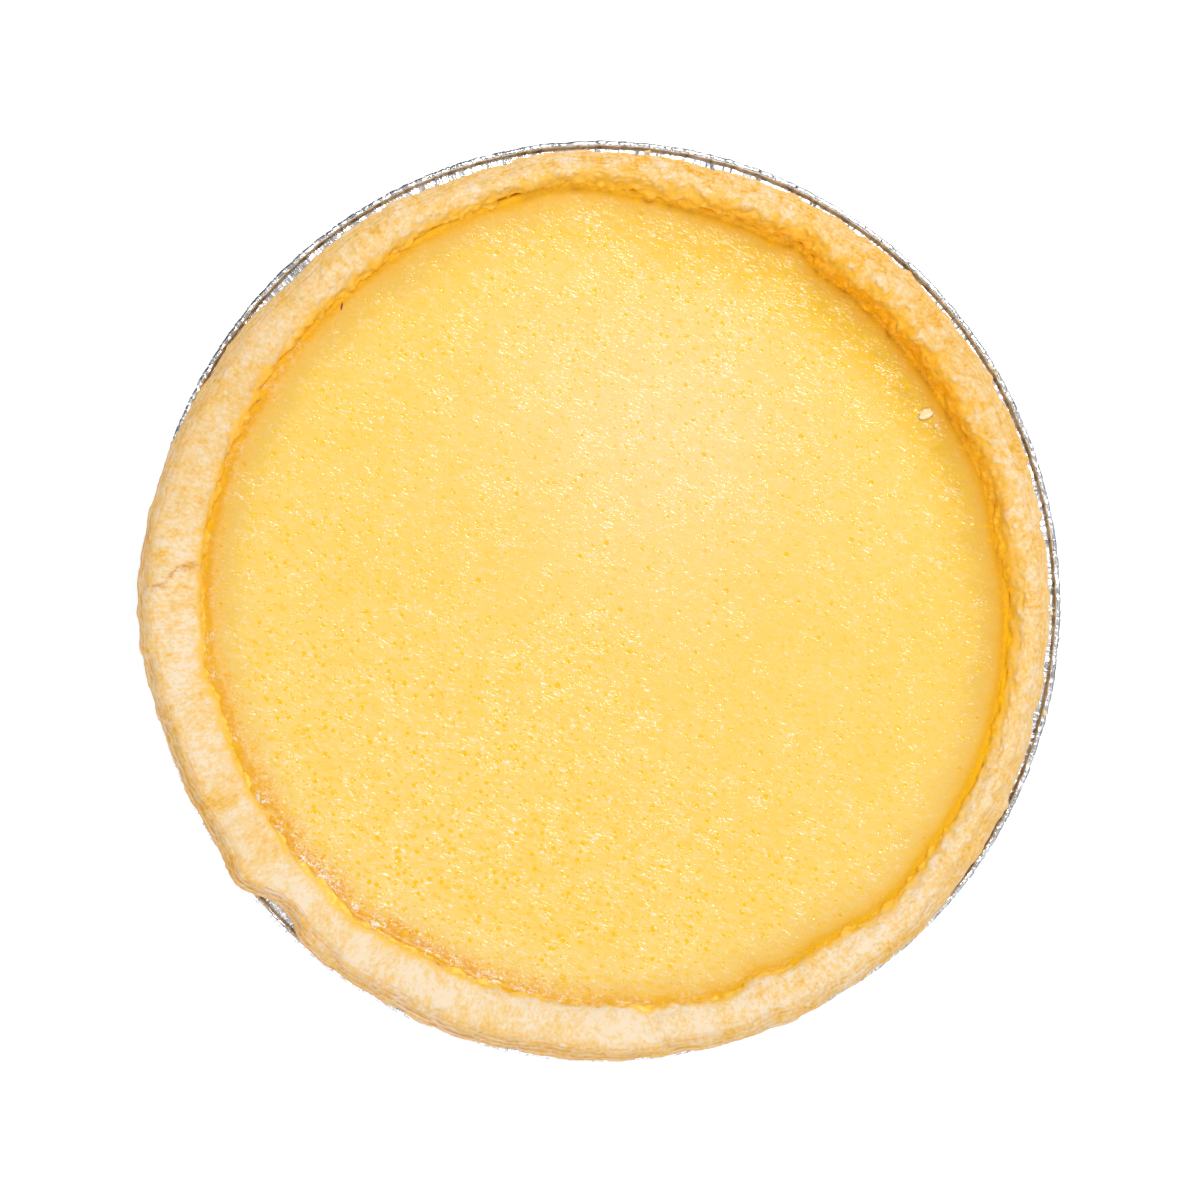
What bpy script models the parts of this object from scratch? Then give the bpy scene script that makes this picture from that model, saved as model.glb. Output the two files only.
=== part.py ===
"""Chess pie in the foil pan it was baked in: foil pan, crust and custard filling.

Lengths are in millimetres and become metres where a mesh is made. Angles are in degrees,
anticlockwise from +X as seen from above. +Z is up, and the origin is the middle of the pan's
flat underside. Every piece is a turned profile whose radii and heights vary round the pie.
"""
import bpy
import numpy as np
from mathutils import Vector, noise

MM = 0.001
GAP = 0.35                  # air left between pieces that touch
SEGMENTS = 168              # points round every ring
PLEATS = 56                 # folds round the foil wall, three points each

# Foil pan: 9 inch pan, 222 mm over its rolled bead
FOIL = 0.5                  # modelled wall, thicker than real foil
RIM_R = 111.2               # outside of the bead
RIM_OVAL = [(2, 0.35, 110)] # the rim is a little out of round
BEAD_R = 1.25               # radius of the rolled bead
BEAD_Z = 27.2               # height of the bead's middle
FLANGE_TOP = 27.4           # flat flange that carries the crust's rim
FLANGE_IN_R = 101.9         # where the flange meets the wall
WALL_TOP_R = 100.5          # inside of the wall just under the flange
WALL_TOP_Z = 26.2
BASE_R = 83.8               # flat underside
CORNER_R = 86.5             # inside of the wall just above the bottom corner
CORNER_Z = 2.6
PLEAT_DEPTH = 0.9           # how far a fold stands out of the wall
BEND_IN, BEND_UP = 0.9, 1.1 # the inner bottom bend starts this far inside the corner, at this height
OUTSIDE_DROP = 0.4          # bends on the outside of the foil lie this much lower than inside

# Crust
FLOOR_TOP = 5.2             # upper face of the crust's bottom
FLOOR_R = 81.5              # inner edge of that face
WALL_FOOT_R = 84.4          # inside of the crust wall near the bottom
WALL_FOOT_Z = 8.0
UNDERLIP_Z = 28.8           # where the inner wall leans in under the custard's surface
UNDERLIP_IN = 1.5
CONTACT_Z = 31.2            # height at which the custard meets the crust
CREST_Z = 36.0              # top of the rim
RIM_UNDER_Z = 29.0          # underside of the rim's outer edge, above the bead
RIM_UNDER_R = 105.5         # where that underside leaves the flange
EDGE_Z = 30.3               # widest part of the rim
EDGE_ROUND = 0.9            # how far the edge is rounded back above and below its widest part
SIDE_Z = 32.5               # middle of the flaky outer side
SHOULDER_Z = 34.4           # top of the flaky outer side
SHOULDER_IN = 2.6           # how far the shoulder lies inside the widest part
LIP_DROP = 1.0              # inner lip below the crest
WALL_MID_Z = 33.5           # a point of the inner wall between lip and custard

# Custard
CUSTARD_TOP = 31.6
MENISCUS_RUN = 3.5          # the surface is level this far from the crust

# Lines round the pie: mean, broad waves (count, size, peak) and local bumps (at, half-width, size)
CONTACT = dict(
    mean=97.0,
    waves=[(1, 0.6, 348), (2, 1.4, 121), (3, 0.85, 89), (4, 0.35, 2)],
    bumps=[(8, 3, -0.5), (17, 4, 0.6), (56, 2.5, -0.9), (61, 2.5, 1.4), (77, 9, -0.8),
           (95, 6, 1.5), (125, 13, -0.6), (165, 15, 0.4), (190, 2.5, 0.7), (197, 8, -0.6),
           (219, 2.5, 0.6), (231, 3, 1.4), (244, 4, -0.7), (276.5, 2.2, 0.9), (286, 4, 1.1),
           (292, 2.2, -1.2), (302, 5, -0.8), (314, 5, 1.1)])
OUTER = dict(
    mean=109.1,
    waves=[(1, 1.6, 220), (3, 0.8, 51), (4, 0.35, 8)],
    bumps=[(12, 4, -0.7), (76, 4, -0.6), (96, 6, 0.9), (119, 5, 0.6), (135, 5, -0.7),
           (149, 5, -0.5), (177, 9, 0.9), (199, 7, -0.4), (217.3, 2.8, 2.2), (224.5, 4, -2.2),
           (235, 5, 0.7), (251, 5, 0.8), (280, 4, -0.5), (314, 9, 1.1), (342, 38, 0.7),
           (62, 32, 0.3)])
LIP_RUN = dict(mean=2.3, waves=[(1, 0.6, 47)], bumps=[(95, 5, -0.6), (56, 3, 0.6)])
CREST = dict(
    mean=CREST_Z,
    waves=[(1, 0.45, 45), (2, 0.2, 60), (5, 0.15, 20), (9, 0.12, 7)],
    bumps=[(61, 2.5, -0.7), (276.5, 2.5, -0.4), (224.5, 4, -0.4), (177.5, 3, 0.45)])

# Baked crags on the rim: size and spacing
CRAG = 0.35
CRAG_SPACING = 6.0

THETA = np.arange(SEGMENTS) * 360.0 / SEGMENTS


def around(mean, waves=(), bumps=()):
    """Value at every angle of THETA: a mean, broad waves and smooth local bumps."""
    value = np.full(SEGMENTS, float(mean))
    for count, size, peak in waves:
        value += size * np.cos(np.radians(count * (THETA - peak)))
    for at, half_width, size in bumps:
        away = (THETA - at + 180.0) % 360.0 - 180.0
        value += size * np.exp(-(away / half_width) ** 2)
    return value


def crags(radius, height):
    """Uneven relief of the baked dough, in millimetres, at every angle of one ring."""
    turn = np.radians(THETA)
    points = zip(radius * np.cos(turn), radius * np.sin(turn), height + 0.0 * turn)
    return np.array([CRAG * noise.noise(Vector(point) / CRAG_SPACING) * 2.0 for point in points])


def ring(radius, height):
    """Points of one closed ring as an array of x, y, z."""
    turn = np.radians(THETA)
    return np.column_stack([radius * np.cos(turn), radius * np.sin(turn), height + 0.0 * turn])


def material(name, colour, roughness, metallic=0.0):
    made = bpy.data.materials.new(name)
    made.use_nodes = True
    shader = made.node_tree.nodes["Principled BSDF"]
    shader.inputs["Base Color"].default_value = (*colour, 1.0)
    shader.inputs["Roughness"].default_value = roughness
    shader.inputs["Metallic"].default_value = metallic
    return made


def turned_body(name, rings, finish):
    """Closed body from rings that run from its bottom middle outwards, up and in over the top.

    Every band is split along the diagonal that rises anticlockwise, so that the facing walls of
    two nested bodies keep their gap.
    """
    points = np.vstack(rings) * MM
    last = (len(rings) - 1) * SEGMENTS
    faces = [list(range(SEGMENTS))[::-1], list(range(last, last + SEGMENTS))]
    for row in range(len(rings) - 1):
        near, far = row * SEGMENTS, (row + 1) * SEGMENTS
        rising = rings[row + 1][:, 2].mean() > rings[row][:, 2].mean()
        for j in range(SEGMENTS):
            k = (j + 1) % SEGMENTS
            if rising:
                faces += [(near + j, near + k, far + k), (near + j, far + k, far + j)]
            else:
                faces += [(near + j, near + k, far + j), (near + k, far + k, far + j)]
    mesh = bpy.data.meshes.new(name)
    mesh.from_pydata([tuple(point) for point in points.tolist()], [], faces)
    mesh.validate()
    mesh.materials.append(finish)
    mesh.shade_smooth()
    mesh.set_sharp_from_angle(angle=np.radians(35.0))
    body = bpy.data.objects.new(name, mesh)
    bpy.context.collection.objects.link(body)
    return body


def foil_pan():
    """Thin shell: flat base, leaning pleated wall, flange and rolled bead."""
    pleat = np.where(np.arange(SEGMENTS) % (SEGMENTS // PLEATS) == 0, PLEAT_DEPTH, 0.0)
    oval = around(0.0, RIM_OVAL)
    bead_middle = RIM_R - BEAD_R

    def bead(angle):
        """Ring on the bead at this angle of its section, measured from straight outwards."""
        out, up = BEAD_R * np.cos(np.radians(angle)), BEAD_R * np.sin(np.radians(angle))
        return ring(bead_middle + out + oval, BEAD_Z + up)

    flange_out = bead_middle - BEAD_R
    outside = [
        ring(BASE_R, 0.0),
        ring(CORNER_R - BEND_IN + 0.8 * FOIL, BEND_UP - 1.1 * FOIL),
        ring(CORNER_R + FOIL, CORNER_Z - OUTSIDE_DROP),
        ring(WALL_TOP_R + FOIL + pleat, WALL_TOP_Z - OUTSIDE_DROP),
        ring(FLANGE_IN_R + 0.4 * FOIL + 0.6 * pleat, FLANGE_TOP - FOIL),
        ring(flange_out + oval, FLANGE_TOP - 1.2 * FOIL)]
    rim = [bead(angle) for angle in (-120, -50, 10, 75, 135)]
    inside = [
        ring(flange_out - 0.4 * FOIL + oval, FLANGE_TOP),
        ring(FLANGE_IN_R, FLANGE_TOP),
        ring(WALL_TOP_R + 0.9 * pleat, WALL_TOP_Z),
        ring(CORNER_R, CORNER_Z),
        ring(CORNER_R - BEND_IN, BEND_UP),
        ring(BASE_R, FOIL)]
    foil = material("foil", (0.80, 0.80, 0.81), 0.25, 1.0)
    return turned_body("foil_pan", outside + rim + inside, foil)


def crust():
    """Dough shell that lines the pan and swells into a rope of a rim over the flange and bead."""
    contact, outer = around(**CONTACT), around(**OUTER)
    lip, crest = contact + around(**LIP_RUN), around(**CREST)
    shoulder = outer - SHOULDER_IN

    def rim(radius, height, radial=0.0, vertical=1.0):
        relief = crags(radius, height)
        return ring(radius + radial * relief, height + vertical * relief)

    lining = [
        ring(BASE_R - 0.3, FOIL + 0.4),
        ring(CORNER_R - 0.2, CORNER_Z + 0.4),
        ring(WALL_TOP_R - 0.45, WALL_TOP_Z),
        ring(FLANGE_IN_R - 0.3, FLANGE_TOP + GAP + 0.05),
        ring(RIM_UNDER_R, FLANGE_TOP + GAP),
        ring(outer - EDGE_ROUND, RIM_UNDER_Z)]
    side = [
        rim(outer, EDGE_Z, 1.0, 0.5),
        rim(outer - EDGE_ROUND, SIDE_Z, 1.2, 0.3),
        rim(shoulder, SHOULDER_Z, 0.6, 0.8)]
    top = [
        rim(shoulder + 0.30 * (lip - shoulder), crest - 0.3),
        rim(shoulder + 0.62 * (lip - shoulder), crest),
        rim(lip, crest - LIP_DROP, 0.6, 0.8)]
    inner = [
        rim(contact + 0.35 * (lip - contact), WALL_MID_Z, 0.7, 0.0),
        ring(contact, CONTACT_Z),
        ring(contact - UNDERLIP_IN, UNDERLIP_Z),
        ring(WALL_FOOT_R, WALL_FOOT_Z),
        ring(FLOOR_R, FLOOR_TOP)]
    dough = material("crust", (0.87, 0.63, 0.34), 0.75)
    return turned_body("crust", lining + side + top + inner, dough)


def filling():
    """Set custard, poured level and filling the crust up to a few millimetres under its rim."""
    contact = around(**CONTACT)
    rings = [
        ring(FLOOR_R - GAP, FLOOR_TOP + GAP),
        ring(WALL_FOOT_R - GAP, WALL_FOOT_Z + 0.1),
        ring(contact - UNDERLIP_IN - GAP, UNDERLIP_Z),
        ring(contact - GAP, CONTACT_Z),
        ring(contact - MENISCUS_RUN, CUSTARD_TOP - 0.15),
        ring(0.9 * contact, CUSTARD_TOP)]
    custard = material("custard", (0.97, 0.72, 0.20), 0.35)
    return turned_body("filling", rings, custard)


for old in list(bpy.data.objects):
    bpy.data.objects.remove(old)
foil_pan()
crust()
filling()
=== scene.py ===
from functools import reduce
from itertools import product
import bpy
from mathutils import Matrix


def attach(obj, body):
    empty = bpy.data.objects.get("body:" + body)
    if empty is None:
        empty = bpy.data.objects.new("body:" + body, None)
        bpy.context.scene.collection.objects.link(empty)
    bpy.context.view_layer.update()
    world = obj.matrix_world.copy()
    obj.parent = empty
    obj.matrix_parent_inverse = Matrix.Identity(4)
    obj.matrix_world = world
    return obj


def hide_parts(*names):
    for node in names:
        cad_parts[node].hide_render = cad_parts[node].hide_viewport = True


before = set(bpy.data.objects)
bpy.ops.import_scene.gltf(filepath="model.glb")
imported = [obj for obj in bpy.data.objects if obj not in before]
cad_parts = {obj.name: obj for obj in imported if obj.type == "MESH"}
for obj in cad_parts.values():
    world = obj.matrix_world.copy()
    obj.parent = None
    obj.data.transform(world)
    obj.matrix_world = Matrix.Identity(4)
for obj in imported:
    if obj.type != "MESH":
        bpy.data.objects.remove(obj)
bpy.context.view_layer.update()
# Looks of a chess pie in its foil pan: wrinkled foil, flaky pale-gold crust and pitted yellow custard.
# Lengths are in millimetres and become metres where a mesh is made. Angles are in degrees,
# anticlockwise from +X as seen from above. The forms follow the same named sizes as the solids.

from types import SimpleNamespace

import bmesh
import bpy
import numpy as np
from mathutils import Matrix, Vector, geometry, noise

MM = 0.001

# ---------------- sizes shared with the solids
FOIL = 0.5
RIM_R = 111.2
RIM_OVAL = [(2, 0.35, 110)]
BEAD_Z = 27.2
FLANGE_TOP = 27.4
FLANGE_IN_R = 101.9
WALL_TOP_R = 100.5
WALL_TOP_Z = 26.2
BASE_R = 83.8
CORNER_R = 86.5
CORNER_Z = 2.6
PLEATS = 56
PLEAT_DEPTH = 0.9
FLOOR_TOP = 5.2
FLOOR_R = 81.5
WALL_FOOT_R = 84.4
WALL_FOOT_Z = 8.0
UNDERLIP_Z = 28.8
UNDERLIP_IN = 1.5
CONTACT_Z = 31.2
CREST_Z = 36.0
RIM_UNDER_Z = 29.0
RIM_UNDER_R = 105.5
EDGE_Z = 30.3
EDGE_ROUND = 0.9
SIDE_Z = 32.5
WALL_MID_Z = 33.5
SHOULDER_Z = 34.4
SHOULDER_IN = 2.6
LIP_DROP = 1.0
CUSTARD_TOP = 31.6
CRAG = 0.35
CRAG_SPACING = 6.0

CONTACT = dict(
    mean=97,
    waves=[(1, 0.6, 348), (2, 1.4, 121), (3, 0.85, 89), (4, 0.35, 2)],
    bumps=[(8, 3, -0.5), (17, 4, 0.6), (56, 2.5, -0.9), (61, 2.5, 1.4), (77, 9, -0.8),
           (95, 6, 1.5), (125, 13, -0.6), (165, 15, 0.4), (190, 2.5, 0.7), (197, 8, -0.6),
           (219, 2.5, 0.6), (231, 3, 1.4), (244, 4, -0.7), (276.5, 2.2, 0.9), (286, 4, 1.1),
           (292, 2.2, -1.2), (302, 5, -0.8), (314, 5, 1.1)])
OUTER = dict(
    mean=109.1,
    waves=[(1, 1.6, 220), (3, 0.8, 51), (4, 0.35, 8)],
    bumps=[(12, 4, -0.7), (76, 4, -0.6), (96, 6, 0.9), (119, 5, 0.6), (135, 5, -0.7),
           (149, 5, -0.5), (177, 9, 0.9), (199, 7, -0.4), (217.3, 2.8, 2.2), (224.5, 4, -2.2),
           (235, 5, 0.7), (251, 5, 0.8), (280, 4, -0.5), (314, 9, 1.1), (342, 38, 0.7),
           (62, 32, 0.3)])
LIP_RUN = dict(mean=2.3, waves=[(1, 0.6, 47)], bumps=[(95, 5, -0.6), (56, 3, 0.6)])
CREST = dict(
    mean=CREST_Z,
    waves=[(1, 0.45, 45), (2, 0.2, 60), (5, 0.15, 20), (9, 0.12, 7)],
    bumps=[(61, 2.5, -0.7), (276.5, 2.5, -0.4), (224.5, 4, -0.4), (177.5, 3, 0.45)])


# ---------------- shape helpers
TABLE_SIZE = 256  # entries in the shuffled tables of the noises


def turn_gap(theta, at):
    """Signed angle from at to theta, between -180 and 180 degrees."""
    return (theta - at + 180) % 360 - 180


def angle_at(x, y):
    """Angle of a place in the plane, between 0 and 360 degrees."""
    return np.degrees(np.arctan2(y, x)) % 360


def around(theta, mean=0, waves=(), bumps=()):
    """Value at each angle: a mean, broad waves (count, size, peak) and local bumps (at, half-width, size)."""
    value = np.full(np.shape(theta), float(mean))
    for count, size, peak in waves:
        value += size * np.cos(np.radians(count * (theta - peak)))
    for at, half_width, size in bumps:
        value += size * np.exp(-(turn_gap(theta, at) / half_width) ** 2)
    return value


def smooth(low, high, value):
    """0 below low, 1 above high and a smooth step between; low may be the larger."""
    step = np.clip((value - low) / (high - low), 0, 1)
    return step * step * (3 - 2 * step)


def window(value, start, full, fade, end):
    """1 between full and fade, falling smoothly to 0 at start and at end."""
    return smooth(start, full, value) * (1 - smooth(fade, end, value))


def hashed(table, cell):
    """Entry of a shuffled table for each cell of a grid in space."""
    key = table[cell[..., 0] % TABLE_SIZE]
    key = table[(key + cell[..., 1]) % TABLE_SIZE]
    return table[(key + cell[..., 2]) % TABLE_SIZE]


def grain(points, spacing, seed):
    """Gradient noise from about -1 to 1 at points, with one feature per spacing."""
    rng = np.random.default_rng(seed)
    table = rng.permutation(TABLE_SIZE)
    arrows = rng.normal(size=(TABLE_SIZE, 3))
    arrows /= np.linalg.norm(arrows, axis=1)[:, None]
    scaled = points / spacing
    cell = np.floor(scaled).astype(int)
    part = scaled - cell
    fade = part ** 3 * (part * (part * 6 - 15) + 10)
    total = np.zeros(points.shape[:-1])
    for corner in product((0, 1), repeat=3):
        key = hashed(table, cell + np.array(corner))
        weight = np.prod(np.where(np.array(corner) == 1, fade, 1 - fade), axis=-1)
        total += weight * ((part - corner) * arrows[key]).sum(-1)
    return 1.7 * total


def puffs(points, spacing, seed):
    """Rounded hills parted by sharp creases, about zero on average."""
    return 2 * np.abs(grain(points, spacing, seed)) - 0.6


def knobs(points, spacing, seed):
    """Rounded lumps: 1 at scattered middles, falling to 0 between them."""
    rng = np.random.default_rng(seed)
    table = rng.permutation(TABLE_SIZE)
    spots = rng.random((TABLE_SIZE, 3))
    scaled = points / spacing
    cell = np.floor(scaled).astype(int)
    nearest = np.full(points.shape[:-1], np.inf)
    for step in product((-1, 0, 1), repeat=3):
        near = cell + np.array(step)
        away = ((near + spots[hashed(table, near)] - scaled) ** 2).sum(-1)
        nearest = np.minimum(nearest, away)
    return 1 - smooth(0, 0.9, np.sqrt(nearest))


def circle(theta, radius, height):
    """Row of a profile: radius and height at each angle."""
    return np.column_stack([radius + 0 * theta, height + 0 * theta])


def rounded_rows(knots, steps):
    """Rows of a smooth profile through knots (count, angles, 2), with their place between knots."""
    knots = np.array(knots)
    along = np.gradient(knots, axis=0)
    along /= np.linalg.norm(along, axis=2)[..., None] + 1e-9
    rows, places = [], []
    for i, count in enumerate(steps):
        start, end = knots[i], knots[i + 1]
        length = np.linalg.norm(end - start, axis=1)[:, None]
        for t in np.arange(count) / count:
            rows.append((2 * t ** 3 - 3 * t ** 2 + 1) * start + (t ** 3 - 2 * t ** 2 + t) * length * along[i]
                        + (3 * t ** 2 - 2 * t ** 3) * end + (t ** 3 - t ** 2) * length * along[i + 1])
            places.append(i + t)
    rows.append(knots[-1])
    places.append(len(steps))
    return np.array(rows), np.array(places)


def swept(theta, profile):
    """Points (rows, angles, 3) of a profile (rows, angles, 2) of radius and height."""
    turn = np.radians(theta)
    radius, height = profile[..., 0], profile[..., 1]
    return np.stack([radius * np.cos(turn), radius * np.sin(turn), height], axis=-1)


def wrapped(theta, radius, along):
    """Places (rows, angles, 3) on a cylinder, for grain that is laid round the pie."""
    return swept(theta, np.stack([radius + 0 * along, along], axis=-1))


def outward(points):
    """Unit normals of a grid of swept points, pointing out of the body."""
    down = np.gradient(points, axis=0)
    side = np.roll(points, -1, axis=1) - np.roll(points, 1, axis=1)
    normal = np.cross(side, down)
    return normal / (np.linalg.norm(normal, axis=-1)[..., None] + 1e-9)


def add_object(name, data):
    made = bpy.data.objects.new(name, data)
    bpy.context.collection.objects.link(made)
    return made


def body_mesh(name, points, faces, attributes, finish):
    """Smooth-shaded object from points in millimetres, with named numbers on its points."""
    mesh = bpy.data.meshes.new(name)
    mesh.from_pydata((points * MM).tolist(), [], faces)
    for label, values in attributes.items():
        kind = "FLOAT" if values.ndim == 1 else "FLOAT_VECTOR"
        layer = mesh.attributes.new(label, kind, "POINT")
        layer.data.foreach_set("value" if kind == "FLOAT" else "vector", values.astype(np.float32).ravel())
    mesh.materials.append(finish)
    mesh.shade_smooth()
    mesh.update()
    return add_object(name, mesh)


def turned(name, points, attributes, finish):
    """Closed body from rows of points that run from its bottom middle out, up and in over its top."""
    rows, count = points.shape[:2]
    ends = [points[0].mean(0), points[-1].mean(0)]
    flat = np.vstack([points.reshape(-1, 3), ends])
    numbers = {}
    for label, values in attributes.items():
        values = values.reshape(rows * count, -1)
        numbers[label] = np.vstack([values, values[:1], values[-1:]]).squeeze()
    j = np.arange(count)
    k = (j + 1) % count
    faces = []
    for row in range(rows - 1):
        near, far = row * count, (row + 1) * count
        faces += np.column_stack([near + j, near + k, far + k, far + j]).tolist()
    bottom, top, last = rows * count, rows * count + 1, (rows - 1) * count
    faces += np.column_stack([k, j, np.full(count, bottom)]).tolist()
    faces += np.column_stack([last + j, last + k, np.full(count, top)]).tolist()
    return body_mesh(name, flat, faces, numbers, finish)


# ---------------- material helpers
HIGH_KEY = 1.25  # a white horizontal surface is lit this much over full white


def tone(red, green, blue):
    """Base colour that shows as this 0 to 255 colour under the scene's light."""
    share = np.array([red, green, blue]) / 255
    linear = np.where(share <= 0.04045, share / 12.92, ((share + 0.055) / 1.055) ** 2.4)
    return (*(linear / HIGH_KEY).tolist(), 1)


def tones(*stops):
    """Stops of a ramp from rows of value, red, green and blue."""
    return [(at, tone(*colour)) for at, *colour in stops]


class Graph:
    """Node tree of a material, or of the world, with short calls that return output sockets."""

    def __init__(self, name, kind=bpy.data.materials, shader="Principled BSDF", place="Object"):
        self.owner = kind.new(name)
        self.owner.use_nodes = True
        self.tree = self.owner.node_tree
        self.shader = self.tree.nodes[shader]
        self.place = self.tree.nodes.new("ShaderNodeTexCoord").outputs[place]

    def node(self, kind, inputs=(), **settings):
        made = self.tree.nodes.new("ShaderNode" + kind)
        for key, value in settings.items():
            setattr(made, key, value)
        for key, value in dict(inputs).items():
            self.put(made.inputs[key], value)
        return made

    def put(self, socket, value):
        if isinstance(value, bpy.types.NodeSocket):
            self.tree.links.new(value, socket)
        else:
            socket.default_value = value

    def number(self, name):
        return self.node("Attribute", attribute_name=name).outputs["Fac"]

    def vector(self, name):
        return self.node("Attribute", attribute_name=name).outputs["Vector"]

    def math(self, operation, a, b=0):
        return self.node("Math", {0: a, 1: b}, operation=operation).outputs[0]

    def times(self, *values):
        return reduce(lambda a, b: self.math("MULTIPLY", a, b), values)

    def total(self, *values):
        return reduce(lambda a, b: self.math("ADD", a, b), values)

    def noise(self, size_mm, detail=2, roughness=0.5, stretch=None, distortion=0):
        """Noise from 0 to 1 with features of size_mm; stretch is a vector socket in millimetres."""
        vector, scale = (self.place, 1000 / size_mm) if stretch is None else (stretch, 1 / size_mm)
        return self.node("TexNoise", {
            "Vector": vector, "Scale": scale, "Detail": detail, "Roughness": roughness,
            "Distortion": distortion}).outputs["Fac"]

    def cells(self, size_mm):
        return self.node("TexVoronoi", {"Vector": self.place, "Scale": 1000 / size_mm}).outputs["Distance"]

    def dimples(self, spacing_mm, share):
        """Distance in mm from the nearest of scattered spots, and 1 in the share of cells that count."""
        cell = self.node("TexVoronoi", {"Vector": self.place, "Scale": 1000 / spacing_mm})
        chosen = self.node("SeparateColor", {"Color": cell.outputs["Color"]}).outputs[0]
        return self.times(cell.outputs["Distance"], spacing_mm), self.math("LESS_THAN", chosen, share)

    def funnel(self, away, there, radius):
        """Height in mm, one for one with away: a cone round each chosen spot, level outside radius."""
        return self.times(self.math("SUBTRACT", self.math("MINIMUM", away, radius), radius), there)

    def scaled(self, vector, x, y, z):
        return self.node("VectorMath", {0: vector, 1: (x, y, z)}, operation="MULTIPLY").outputs[0]

    def slanted(self, degrees, squeeze):
        """Object coordinates in mm, turned about Z by this angle, then squeezed along the new X."""
        turned = self.node("VectorRotate", {"Vector": self.place, "Angle": np.radians(degrees)},
                           rotation_type="Z_AXIS").outputs["Vector"]
        return self.scaled(turned, 1000 * squeeze, 1000, 1000)

    def ramp(self, value, stops):
        """Colour that runs through the stops, each a value and its colour."""
        made = self.node("ValToRGB", {"Fac": self.math("DIVIDE", value, stops[-1][0])})
        points = made.color_ramp.elements
        for index, (at, colour) in enumerate(stops):
            point = points[index] if index < 2 else points.new(1)
            point.position, point.color = at / stops[-1][0], colour
        return made.outputs["Color"]

    def step(self, value, low, high, to_low=0, to_high=1):
        """Smooth step of value from to_low at low to to_high at high."""
        return self.node("MapRange", {
            "Value": value, "From Min": low, "From Max": high, "To Min": to_low, "To Max": to_high},
            interpolation_type="SMOOTHSTEP", clamp=True).outputs["Result"]

    def blend(self, factor, first, second):
        made = self.node("Mix", data_type="RGBA")
        self.put(made.inputs["Factor"], factor)
        self.put(made.inputs[6], first)
        self.put(made.inputs[7], second)
        return made.outputs[2]

    def layered(self, colour, *layers):
        """The colour with layers, each a weight and a colour, laid over it in turn."""
        for weight, over in layers:
            colour = self.blend(weight, colour, over)
        return colour

    def bump(self, height, strength, distance_mm, normal=None):
        made = self.node("Bump", {"Height": height, "Strength": strength, "Distance": distance_mm * MM})
        if normal is not None:
            self.put(made.inputs["Normal"], normal)
        return made.outputs["Normal"]

    def finish(self, **values):
        for key, value in values.items():
            self.put(self.shader.inputs[key.replace("_", " ")], value)
        return self.owner


# ---------------- foil pan
CREASE_GAP = 0.95  # the creases are 0.5 to 1.7 times this angle apart
CREASE_DRAWS = 400  # more than fit round the pan
LAST_CREASE = 359.3  # angle of the last crease, at most
WALL_ROWS = 7  # rows up the wall
BEAD_SIDES = 15  # rows round the bead's section
BEAD_START, BEAD_TURN = -135, 275  # where the bead's section starts and how far it turns
BEAD_SKIN_R = 1.08  # the rolled bead is a little slimmer than the solid's
BEAD_SQUARE, BEAD_FLAT = 0.70, 0.35  # beyond this share of its radius the bead bulges this much less
BEAD_MIDDLE_R = RIM_R - BEAD_SKIN_R * (BEAD_SQUARE + BEAD_FLAT * (1.0 - BEAD_SQUARE))
FLANGE_OUT_R = BEAD_MIDDLE_R - BEAD_SKIN_R
FLANGE_DIP = 0.34  # the flange falls this much towards the bead
RIM_DENT = [(293, 17, -0.55)]  # the bead is pressed in here and stays under the crust
BASE_ROWS = [(24, 0.0), (57.5, 0.0), (58.7, 0.25), (60.0, 0.35), (65.0, 0.35), (66.3, 0.25), (67.5, 0.0),
             (BASE_R, 0)]  # radius and height of the base with its raised ring
FOOT_R, FOOT_TURN, FOOT_ROWS = 3.6, 58.0, 4  # bend from the base into the wall
SHARP_ANGLE = 24.0  # facets that meet at more than this angle keep a sharp edge
# the third foil colour is painted shade, laid dark into the fine creases on the rim
FOIL_GREY, FOIL_WHITE, FOIL_CREASE_SHADE = (0.76, 0.77, 0.78, 1), (0.90, 0.90, 0.91, 1), (0.20, 0.19, 0.19, 1)


def foil_material():
    g = Graph("foil")
    wrinkle = g.noise(1.8, 4, 0.6, distortion=0.8)
    fine = g.noise(0.45, 3, 0.6)
    smear = g.noise(9, 3, 0.6)
    rim = g.number("rim")
    tick = g.noise(1.5, 3, 0.7, stretch=g.scaled(g.vector("wrap"), 1, 1, 0.4), distortion=0.4)
    normal = g.bump(fine, 0.7, 0.10, g.bump(wrinkle, 0.6, 0.3))
    normal = g.bump(tick, g.times(rim, 0.6), 0.18, normal)
    # the last layer paints shade into the fine creases on the rim
    colour = g.layered(FOIL_GREY, (g.step(smear, 0.3, 0.75), FOIL_WHITE),
                       (g.times(g.step(tick, 0.52, 0.60), rim, 0.38), FOIL_CREASE_SHADE))
    return g.finish(Base_Color=colour, Metallic=1, Roughness=g.step(smear, 0.2, 0.8, 0.12, 0.26),
                    Normal=normal)


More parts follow.
